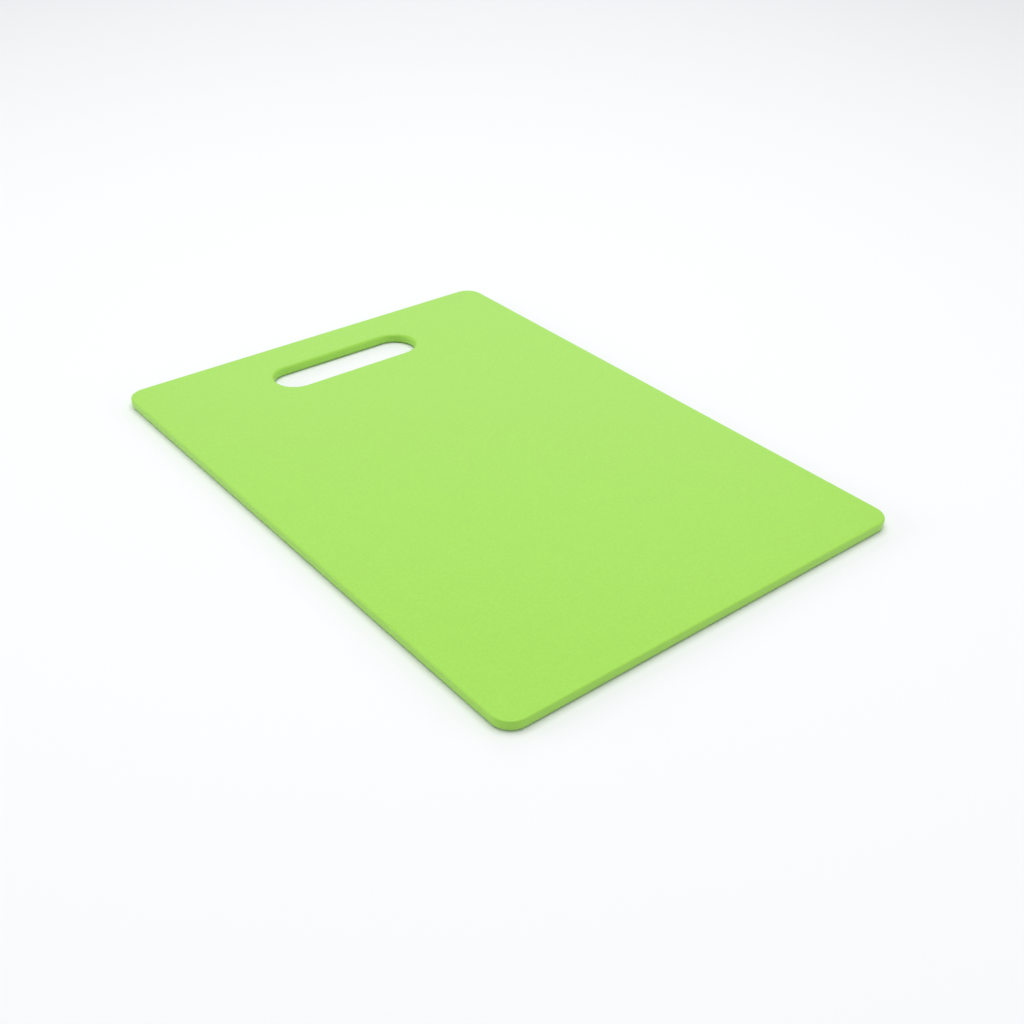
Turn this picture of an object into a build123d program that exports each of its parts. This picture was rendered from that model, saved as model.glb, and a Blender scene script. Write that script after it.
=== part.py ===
"""Flexible cutting mat: one moulded plastic sheet with a hand slot near its back edge.

Sizes are in millimetres. The origin is the centre of the underside. +Z points up out of the
work face, and +Y runs along the mat towards the edge with the hand slot.
"""

import os

from build123d import *

# Sheet
WIDTH = 250
LENGTH = 350
THICKNESS = 6
CORNER_RADIUS = 10.5
TOP_EDGE_RADIUS = 0.8
UNDERSIDE_EDGE_RADIUS = 2.5

# Hand slot, round at both ends
SLOT_LENGTH = 96
SLOT_WIDTH = 26
SLOT_TO_BACK_EDGE = 26.2
SLOT_TOP_EDGE_RADIUS = 1.8
SLOT_UNDERSIDE_EDGE_RADIUS = 2.5


def sheet_outline():
    """The mat from above: a rectangle with rounded corners."""
    return RectangleRounded(WIDTH, LENGTH, CORNER_RADIUS)


def slot_outline():
    """The hand slot from above, midway across the mat and set in from its back edge."""
    centre_y = LENGTH / 2 - SLOT_TO_BACK_EDGE - SLOT_WIDTH / 2
    return Pos(0, centre_y) * SlotOverall(SLOT_LENGTH, SLOT_WIDTH)


def work_face(body):
    return body.faces().sort_by(Axis.Z)[-1]


def underside(body):
    return body.faces().sort_by(Axis.Z)[0]


def cutting_mat():
    """The moulding: the slotted outline made solid, with the rims of both faces rounded."""
    body = extrude(sheet_outline() - slot_outline(), THICKNESS)
    body = fillet(work_face(body).outer_wire().edges(), TOP_EDGE_RADIUS)
    body = fillet(underside(body).outer_wire().edges(), UNDERSIDE_EDGE_RADIUS)
    body = fillet(work_face(body).inner_wires().edges(), SLOT_TOP_EDGE_RADIUS)
    return fillet(underside(body).inner_wires().edges(), SLOT_UNDERSIDE_EDGE_RADIUS)


def main():
    os.makedirs("parts", exist_ok=True)
    mat = cutting_mat()
    mat.label = "cutting_mat"
    export_step(mat, "parts/cutting_mat.step")


main()
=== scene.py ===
"""Flexible cutting mat: its moulded sheet and a pale studio round it. Lengths are in metres."""

import math

import bmesh
import bpy
from mathutils import Matrix, Vector


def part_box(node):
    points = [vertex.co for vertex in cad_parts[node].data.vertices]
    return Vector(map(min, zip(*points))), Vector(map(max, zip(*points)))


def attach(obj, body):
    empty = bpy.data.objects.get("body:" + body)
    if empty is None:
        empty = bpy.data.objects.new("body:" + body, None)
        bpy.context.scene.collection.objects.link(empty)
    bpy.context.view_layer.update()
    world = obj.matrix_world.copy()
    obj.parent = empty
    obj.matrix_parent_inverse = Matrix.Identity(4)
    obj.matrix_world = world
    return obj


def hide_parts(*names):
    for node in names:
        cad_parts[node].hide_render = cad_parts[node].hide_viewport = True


bl_info = {
    "name": "Flexible cutting mat",
    "version": (1, 0, 0),
    "blender": (4, 5, 0),
    "location": "3D View > Sidebar > Cutting mat",
    "description": "Makes a moulded plastic cutting mat and its studio",
    "category": "Add Mesh",
}

NODE = "cutting_mat"
BODY = "root"

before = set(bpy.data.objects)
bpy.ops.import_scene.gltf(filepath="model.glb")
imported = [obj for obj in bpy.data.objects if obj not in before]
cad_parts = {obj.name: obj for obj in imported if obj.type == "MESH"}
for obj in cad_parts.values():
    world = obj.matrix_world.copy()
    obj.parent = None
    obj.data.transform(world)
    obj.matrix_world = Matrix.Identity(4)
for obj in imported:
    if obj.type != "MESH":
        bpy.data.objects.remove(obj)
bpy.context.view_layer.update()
MAT_LOW, MAT_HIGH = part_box(NODE)
THICKNESS = MAT_HIGH.z - MAT_LOW.z

# Points closer than this are one point
WELD = 1e-6

# Upward share of its normal above which a face is level
LEVEL = 0.999

# Share of the grain that is fine fuzz, how much finer the fuzz is, and its layers of noise
FUZZ = 0.3
FUZZ_FINENESS = 2.2
FUZZ_DETAIL = 2.0

# How soft the grain's pits are, and how far they stray from even rows
PIT_SOFTNESS = 0.3
PIT_SCATTER = 0.5

# Layers of noise in the clouds
CLOUD_DETAIL = 3.0

# Middle value of the grain, and of noise
GRAIN_MIDDLE = 0.44
NOISE_MIDDLE = 0.5

# Depth below each face over which the grain fades into the smooth walls
GRAIN_FADE = 0.0002

# How much the grain and the clouds vary the roughness
GRAIN_ROUGHNESS = 0.08
CLOUD_ROUGHNESS = 0.06

# How much the plastic bends light, and how rough and how glossy the floor's paper is
PLASTIC_IOR = 1.5
PAPER_ROUGHNESS = 0.9
PAPER_GLOSS = 0.0

# Radius of the round floor, its sides, and the hair's breadth that keeps it clear of the underside
FLOOR_RADIUS = 2.9
FLOOR_SIDES = 96
FLOOR_DROP = 0.00005

# Colour of the light from all round
SKY_COLOUR = (1, 1, 1, 1)

# Width of the camera's frame in millimetres, and the nearest thing that it sees
FRAME_WIDTH = 36
NEAREST = 0.01

# Soft lights, which all face the mat: where each stands, its width and its height
LIGHTS = {
    "overhead": ((0, 0, 1.6), 1.6, 1.6),
    "back": ((1.05, 1.34, 0.95), 1.8, 1.0),
    "far_left": ((-2.2, 1.8, 0.7), 2.0, 1.0),
    "near_right": ((2.0, -2.0, 0.7), 2.0, 1.0),
    "right": ((3.0, 0.0, 1.6), 2.4, 2.4),
}


class MatShape(bpy.types.PropertyGroup):
    """The sizes of the moulding that its box doesn't give."""

    corner_radius: bpy.props.FloatProperty(
        name="Corner radius",
        description="Radius of the mat's four corners, seen from above",
        default=0.0105,
        min=0.001,
        unit="LENGTH",
    )
    top_edge_radius: bpy.props.FloatProperty(
        name="Top edge radius",
        description="Radius of the rounding along the outer rim of the work face",
        default=0.0008,
        min=0.0001,
        unit="LENGTH",
    )
    underside_edge_radius: bpy.props.FloatProperty(
        name="Underside edge radius",
        description="Radius of the rounding along both rims of the underside",
        default=0.0025,
        min=0.0001,
        unit="LENGTH",
    )
    slot_edge_radius: bpy.props.FloatProperty(
        name="Slot edge radius",
        description="Radius of the rounding along the hand slot's rim on the work face",
        default=0.0018,
        min=0.0001,
        unit="LENGTH",
    )
    slot_length: bpy.props.FloatProperty(
        name="Slot length",
        description="Length of the hand slot, across the mat",
        default=0.096,
        min=0.01,
        unit="LENGTH",
    )
    slot_width: bpy.props.FloatProperty(
        name="Slot width",
        description="Width of the hand slot, along the mat",
        default=0.026,
        min=0.005,
        unit="LENGTH",
    )
    slot_to_back_edge: bpy.props.FloatProperty(
        name="Slot to back edge",
        description="Plastic left between the hand slot and the mat's back edge",
        default=0.0262,
        min=0.005,
        unit="LENGTH",
    )
    corner_steps: bpy.props.IntProperty(
        name="Corner steps",
        description="Faces round each corner of the mat and each quarter of a slot end",
        default=24,
        min=4,
    )
    edge_steps: bpy.props.IntProperty(
        name="Edge steps",
        description="Faces across the rounding of each rim",
        default=8,
        min=2,
    )


class MatFinish(bpy.types.PropertyGroup):
    """The look of the plastic."""

    colour: bpy.props.FloatVectorProperty(
        name="Colour",
        description="Colour of the plastic right through",
        default=(0.325, 0.664, 0.066),
        min=0,
        max=1,
        subtype="COLOR",
    )
    roughness: bpy.props.FloatProperty(
        name="Roughness",
        description="Roughness of the moulded faces",
        default=0.35,
        min=0,
        max=1,
        subtype="FACTOR",
    )
    grain_pitch: bpy.props.FloatProperty(
        name="Grain pitch",
        description="Distance from one pip of the moulded grain to the next",
        default=0.0015,
        min=0.0002,
        unit="LENGTH",
    )
    grain_height: bpy.props.FloatProperty(
        name="Grain height",
        description="Height of the moulded grain",
        default=0.0001,
        min=0,
        precision=6,
        unit="LENGTH",
    )
    # Painted shade: how far the colour is darkened in the grain's pits and lightened on its tops
    grain_painted_shade: bpy.props.FloatProperty(
        name="Grain shade",
        description="How much lighter the grain's tops look than its pits",
        default=0.15,
        min=0,
        max=1,
        subtype="FACTOR",
    )
    cloud_size: bpy.props.FloatProperty(
        name="Cloud size",
        description="Size of the faint clouds in the pigment",
        default=0.012,
        min=0.001,
        unit="LENGTH",
    )
    cloud_shade: bpy.props.FloatProperty(
        name="Cloud shade",
        description="How much the clouds vary the colour",
        default=0.04,
        min=0,
        max=1,
        subtype="FACTOR",
    )


class StudioSettings(bpy.types.PropertyGroup):
    """The floor, lights and camera."""

    floor_colour: bpy.props.FloatVectorProperty(
        name="Floor colour",
        description="Colour of the seamless floor",
        default=(0.854, 0.866, 0.881),
        min=0,
        max=1,
        subtype="COLOR",
    )
    sky_strength: bpy.props.FloatProperty(
        name="Sky strength",
        description="Brightness of the even light from all round",
        default=0.4,
        min=0,
    )
    overhead_power: bpy.props.FloatProperty(
        name="Overhead power",
        description="Power of the soft light above the mat",
        default=20.3,
        min=0,
        subtype="POWER",
    )
    back_power: bpy.props.FloatProperty(
        name="Back power",
        description="Power of the soft light behind the mat, which the work face mirrors faintly",
        default=5.37,
        min=0,
        subtype="POWER",
    )
    far_left_power: bpy.props.FloatProperty(
        name="Far left power",
        description="Power of the low light at the far left, which fills the long wall",
        default=21.9,
        min=0,
        subtype="POWER",
    )
    near_right_power: bpy.props.FloatProperty(
        name="Near right power",
        description="Power of the low light at the near right, which fills the front wall",
        default=12.2,
        min=0,
        subtype="POWER",
    )
    right_power: bpy.props.FloatProperty(
        name="Right power",
        description="Power of the soft light to the right",
        default=2.9,
        min=0,
        subtype="POWER",
    )
    camera_place: bpy.props.FloatVectorProperty(
        name="Camera place",
        description="Where the camera stands",
        default=(-0.36539, -0.46524, 0.36206),
        subtype="XYZ",
        unit="LENGTH",
    )
    camera_turn: bpy.props.FloatProperty(
        name="Camera turn",
        description="How far the camera is turned to the right of the mat's length",
        default=math.radians(39.686),
        subtype="ANGLE",
    )
    camera_dip: bpy.props.FloatProperty(
        name="Camera dip",
        description="How far the camera looks down from level",
        default=math.radians(33.740),
        subtype="ANGLE",
    )
    camera_roll: bpy.props.FloatProperty(
        name="Camera roll",
        description="How far the camera leans about its line of sight",
        default=math.radians(1.267),
        subtype="ANGLE",
    )
    lens: bpy.props.FloatProperty(
        name="Lens",
        description="Focal length on a frame 36 mm wide",
        default=44.997,
        min=10,
        unit="CAMERA",
    )


class Value:
    """A socket that takes part in Python arithmetic, each step of it a Math node."""

    def __init__(self, tree, socket):
        self.tree = tree
        self.socket = socket

    def node(self, kind, settings=None, inputs=None, output=0):
        """A new node of that type: its settings first, then its sockets' values or links."""
        made = self.tree.nodes.new(kind)
        for name, value in (settings or {}).items():
            setattr(made, name, value)
        for name, value in (inputs or {}).items():
            if isinstance(value, Value):
                self.tree.links.new(value.socket, made.inputs[name])
            else:
                made.inputs[name].default_value = value
        return Value(self.tree, made.outputs[output])

    def math(self, operation, *others):
        values = (self, *others)
        return self.node("ShaderNodeMath", {"operation": operation}, dict(enumerate(values)))

    def __add__(self, other):
        return self.math("ADD", other)

    __radd__ = __add__

    def __mul__(self, other):
        return self.math("MULTIPLY", other)

    __rmul__ = __mul__

    def __sub__(self, other):
        return self.math("SUBTRACT", other)

    def __rsub__(self, other):
        return self.math("MULTIPLY", -1.0) + other

    def __abs__(self):
        return self.math("ABSOLUTE")

    def ramp(self, low, high):
        """0 up to low, 1 past high, and smooth between them."""
        return self.node(
            "ShaderNodeMapRange",
            {"interpolation_type": "SMOOTHSTEP"},
            {"Value": self, "From Min": low, "From Max": high},
        )


def new_material(name):
    """A material with one Principled shader: the material, its tree and the shader's inputs."""
    material = bpy.data.materials.new(name)
    material.use_nodes = True
    shader = material.node_tree.nodes["Principled BSDF"]
    return material, material.node_tree, shader.inputs


def on_faces(place):
    """1 on the work face and the underside, fading to 0 just below each."""
    height = place.node("ShaderNodeSeparateXYZ", inputs={"Vector": place}, output=2)
    from_middle = abs(height - (MAT_LOW.z + THICKNESS / 2))
    return from_middle.ramp(THICKNESS / 2 - GRAIN_FADE, THICKNESS / 2)


def noise(place, scale, detail):
    inputs = {"Vector": place, "Scale": scale, "Detail": detail}
    return place.node("ShaderNodeTexNoise", inputs=inputs)


def moulded_grain(place, pitch):
    """Fine soft pits with a little fuzz between them, on both faces only."""
    pits = place.node(
        "ShaderNodeTexVoronoi",
        {"feature": "SMOOTH_F1"},
        {
            "Vector": place,
            "Scale": 1 / pitch,
            "Smoothness": PIT_SOFTNESS,
            "Randomness": PIT_SCATTER,
        },
    )
    fuzz = noise(place, FUZZ_FINENESS / pitch, FUZZ_DETAIL)
    return (pits * (1 - FUZZ) + fuzz * FUZZ - GRAIN_MIDDLE) * on_faces(place)


def moulded_plastic(finish):
    """Satin lime plastic: a fine pitted grain on both faces with painted shade darkening its pits and
    lightening its tops, smooth walls, faintly uneven pigment.
    """
    material, tree, shader = new_material("Lime plastic")
    place = Value(tree, tree.nodes.new("ShaderNodeTexCoord").outputs["Object"])
    grain = moulded_grain(place, finish.grain_pitch)
    cloud = noise(place, 1 / finish.cloud_size, CLOUD_DETAIL) - NOISE_MIDDLE

    # Painted shade from the grain (pits darker, tops lighter), plus the clouds, which are real uneven
    # pigment
    painted_grain_shade_and_clouds = grain * finish.grain_painted_shade + cloud * finish.cloud_shade + 1
    colour = place.node(
        "ShaderNodeVectorMath",
        {"operation": "SCALE"},
        {"Vector": finish.colour, "Scale": painted_grain_shade_and_clouds},
    )
    bump = place.node(
        "ShaderNodeBump",
        inputs={"Height": grain, "Distance": finish.grain_height},
    )
    roughness = grain * GRAIN_ROUGHNESS + cloud * CLOUD_ROUGHNESS + finish.roughness

    tree.links.new(colour.socket, shader["Base Color"])
    tree.links.new(roughness.socket, shader["Roughness"])
    tree.links.new(bump.socket, shader["Normal"])
    shader["IOR"].default_value = PLASTIC_IOR
    return material


def pale_floor(colour):
    """Matt off-white paper."""
    material, _, shader = new_material("Pale floor")
    shader["Base Color"].default_value = (*colour, 1)
    shader["Roughness"].default_value = PAPER_ROUGHNESS
    shader["Specular IOR Level"].default_value = PAPER_GLOSS
    return material


def add_object(name, data):
    made = bpy.data.objects.new(name, data)
    bpy.context.scene.collection.objects.link(made)
    return made


def round_edges(bm, edges, radius, steps):
    bmesh.ops.bevel(
        bm,
        geom=edges,
        offset=radius,
        offset_type="OFFSET",
        segments=steps,
        profile=0.5,
        affect="EDGES",
        clamp_overlap=False,
        material=-1,
    )
    bmesh.ops.remove_doubles(bm, verts=bm.verts, dist=WELD)


def is_level(face):
    return abs(face.normal.z) > LEVEL


def slot_limits(shape):
    """The lowest and highest corner of the hand slot in plan."""
    high_y = MAT_HIGH.y - shape.slot_to_back_edge
    middle_x = (MAT_LOW.x + MAT_HIGH.x) / 2
    low = Vector((middle_x - shape.slot_length / 2, high_y - shape.slot_width))
    high = Vector((middle_x + shape.slot_length / 2, high_y))
    return low, high


def open_slot(bm, low, high):
    """Cuts the block along the slot's four sides, takes out its lids and walls it in."""
    for corner in (low, high):
        for axis in (Vector((1, 0, 0)), Vector((0, 1, 0))):
            everything = bm.verts[:] + bm.edges[:] + bm.faces[:]
            bmesh.ops.bisect_plane(bm, geom=everything, plane_co=corner.to_3d(), plane_no=axis)
    bm.normal_update()
    middle = (low + high) / 2
    lids = [f for f in bm.faces if is_level(f) and (f.calc_center_median().xy - middle).length < WELD]
    bmesh.ops.delete(bm, geom=lids, context="FACES_ONLY")
    bmesh.ops.bridge_loops(bm, edges=[e for e in bm.edges if e.is_boundary])


def upright_edges(bm, low, high):
    """The block's upright edges at the corners of the rectangle from low to high."""
    places = [(x, y) for x in (low.x, high.x) for y in (low.y, high.y)]

    def stands_at(edge, x, y):
        return all(abs(v.co.x - x) < WELD and abs(v.co.y - y) < WELD for v in edge.verts)

    return [e for e in bm.edges if any(stands_at(e, x, y) for x, y in places)]


def rims(bm, height, low, high):
    """The edges where walls meet the level face at that height: the mat's, then the slot's."""
    bm.normal_update()

    def is_rim(edge):
        at_height = all(abs(v.co.z - height) < WELD for v in edge.verts)
        return at_height and sum(map(is_level, edge.link_faces)) == 1

    def in_slot(edge):
        x, y = edge.verts[0].co.xy
        return low.x - WELD < x < high.x + WELD and low.y - WELD < y < high.y + WELD

    found = [e for e in bm.edges if is_rim(e)]
    return [e for e in found if not in_slot(e)], [e for e in found if in_slot(e)]


def mat_mesh(shape):
    """The moulding: a block with its slot, its corners rounded in plan, then all its rims."""
    bm = bmesh.new()
    bmesh.ops.create_cube(bm, size=1)
    bmesh.ops.scale(bm, vec=MAT_HIGH - MAT_LOW, verts=bm.verts)
    bmesh.ops.translate(bm, vec=(MAT_LOW + MAT_HIGH) / 2, verts=bm.verts)
    low, high = slot_limits(shape)
    open_slot(bm, low, high)
    round_edges(bm, upright_edges(bm, MAT_LOW, MAT_HIGH), shape.corner_radius, shape.corner_steps)
    round_edges(bm, upright_edges(bm, low, high), shape.slot_width / 2, shape.corner_steps)
    mat_rim, _ = rims(bm, MAT_HIGH.z, low, high)
    round_edges(bm, mat_rim, shape.top_edge_radius, shape.edge_steps)
    _, slot_rim = rims(bm, MAT_HIGH.z, low, high)
    round_edges(bm, slot_rim, shape.slot_edge_radius, shape.edge_steps)
    for which in (0, 1):
        rim = rims(bm, MAT_LOW.z, low, high)[which]
        round_edges(bm, rim, shape.underside_edge_radius, shape.edge_steps)
    bmesh.ops.recalc_face_normals(bm, faces=bm.faces)
    for face in bm.faces:
        face.smooth = True
    mesh = bpy.data.meshes.new("moulded_sheet")
    bm.to_mesh(mesh)
    bm.free()
    return mesh


class CUTTINGMAT_OT_sheet(bpy.types.Operator):
    """Make the moulded sheet with its hand slot"""

    bl_idname = "cuttingmat.sheet"
    bl_label = "Moulded sheet"

    def execute(self, context):
        sheet = add_object("moulded_sheet", mat_mesh(context.scene.mat_shape))
        sheet.data.materials.append(moulded_plastic(context.scene.mat_finish))
        evened = sheet.modifiers.new("Even shading", "WEIGHTED_NORMAL")
        evened.mode = "FACE_AREA"
        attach(sheet, BODY)
        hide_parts(NODE)
        return {"FINISHED"}


def add_floor(settings):
    bm = bmesh.new()
    bmesh.ops.create_circle(bm, cap_ends=True, segments=FLOOR_SIDES, radius=FLOOR_RADIUS)
    bmesh.ops.translate(bm, vec=(0, 0, -FLOOR_DROP), verts=bm.verts)
    mesh = bpy.data.meshes.new("floor")
    bm.to_mesh(mesh)
    bm.free()
    floor = add_object("floor", mesh)
    floor.data.materials.append(pale_floor(settings.floor_colour))


def add_sky(settings):
    world = bpy.data.worlds.new("Studio")
    world.use_nodes = True
    background = world.node_tree.nodes["Background"]
    background.inputs["Color"].default_value = SKY_COLOUR
    background.inputs["Strength"].default_value = settings.sky_strength
    bpy.context.scene.world = world


def add_light(name, place, width, height, power):
    """A soft light, width by height, that faces the mat."""
    light = bpy.data.lights.new(name, "AREA")
    light.shape = "RECTANGLE"
    light.size = width
    light.size_y = height
    light.energy = power
    lamp = add_object(name, light)
    lamp.location = place
    lamp.rotation_euler = (-Vector(place)).to_track_quat("-Z", "Y").to_euler()


def add_camera(settings):
    camera = add_object("camera", bpy.data.cameras.new("camera"))
    camera.data.sensor_width = FRAME_WIDTH
    camera.data.lens = settings.lens
    camera.data.clip_start = NEAREST
    camera.matrix_world = (
        Matrix.Translation(settings.camera_place)
        @ Matrix.Rotation(-settings.camera_turn, 4, "Z")
        @ Matrix.Rotation(math.pi / 2 - settings.camera_dip, 4, "X")
        @ Matrix.Rotation(settings.camera_roll, 4, "Z")
    )
    bpy.context.scene.camera = camera


class CUTTINGMAT_OT_studio(bpy.types.Operator):
    """Make the floor, the lights and the camera"""

    bl_idname = "cuttingmat.studio"
    bl_label = "Studio"

    def execute(self, context):
        settings = context.scene.studio_settings
        context.scene.view_settings.view_transform = "Standard"
        add_floor(settings)
        add_sky(settings)
        for name, (place, width, height) in LIGHTS.items():
            add_light(name, place, width, height, getattr(settings, name + "_power"))
        add_camera(settings)
        return {"FINISHED"}


class CUTTINGMAT_PT_panel(bpy.types.Panel):
    """The mat's sizes, finish and studio, with a button for each group"""

    bl_label = "Cutting mat"
    bl_space_type = "VIEW_3D"
    bl_region_type = "UI"
    bl_category = "Cutting mat"

    def draw(self, context):
        groups = (
            (CUTTINGMAT_OT_sheet, (context.scene.mat_shape, context.scene.mat_finish)),
            (CUTTINGMAT_OT_studio, (context.scene.studio_settings,)),
        )
        for operator, settings in groups:
            column = self.layout.box().column()
            for group in settings:
                for name in group.__annotations__:
                    column.prop(group, name)
            column.operator(operator.bl_idname)


SETTINGS = {"mat_shape": MatShape, "mat_finish": MatFinish, "studio_settings": StudioSettings}
CLASSES = (*SETTINGS.values(), CUTTINGMAT_OT_sheet, CUTTINGMAT_OT_studio, CUTTINGMAT_PT_panel)


def register():
    for cls in CLASSES:
        bpy.utils.register_class(cls)
    for name, group in SETTINGS.items():
        setattr(bpy.types.Scene, name, bpy.props.PointerProperty(type=group))


def unregister():
    for name in SETTINGS:
        delattr(bpy.types.Scene, name)
    for cls in reversed(CLASSES):
        bpy.utils.unregister_class(cls)


def main():
    register()
    bpy.ops.cuttingmat.sheet()
    bpy.ops.cuttingmat.studio()


if __name__ == "__main__":
    main()
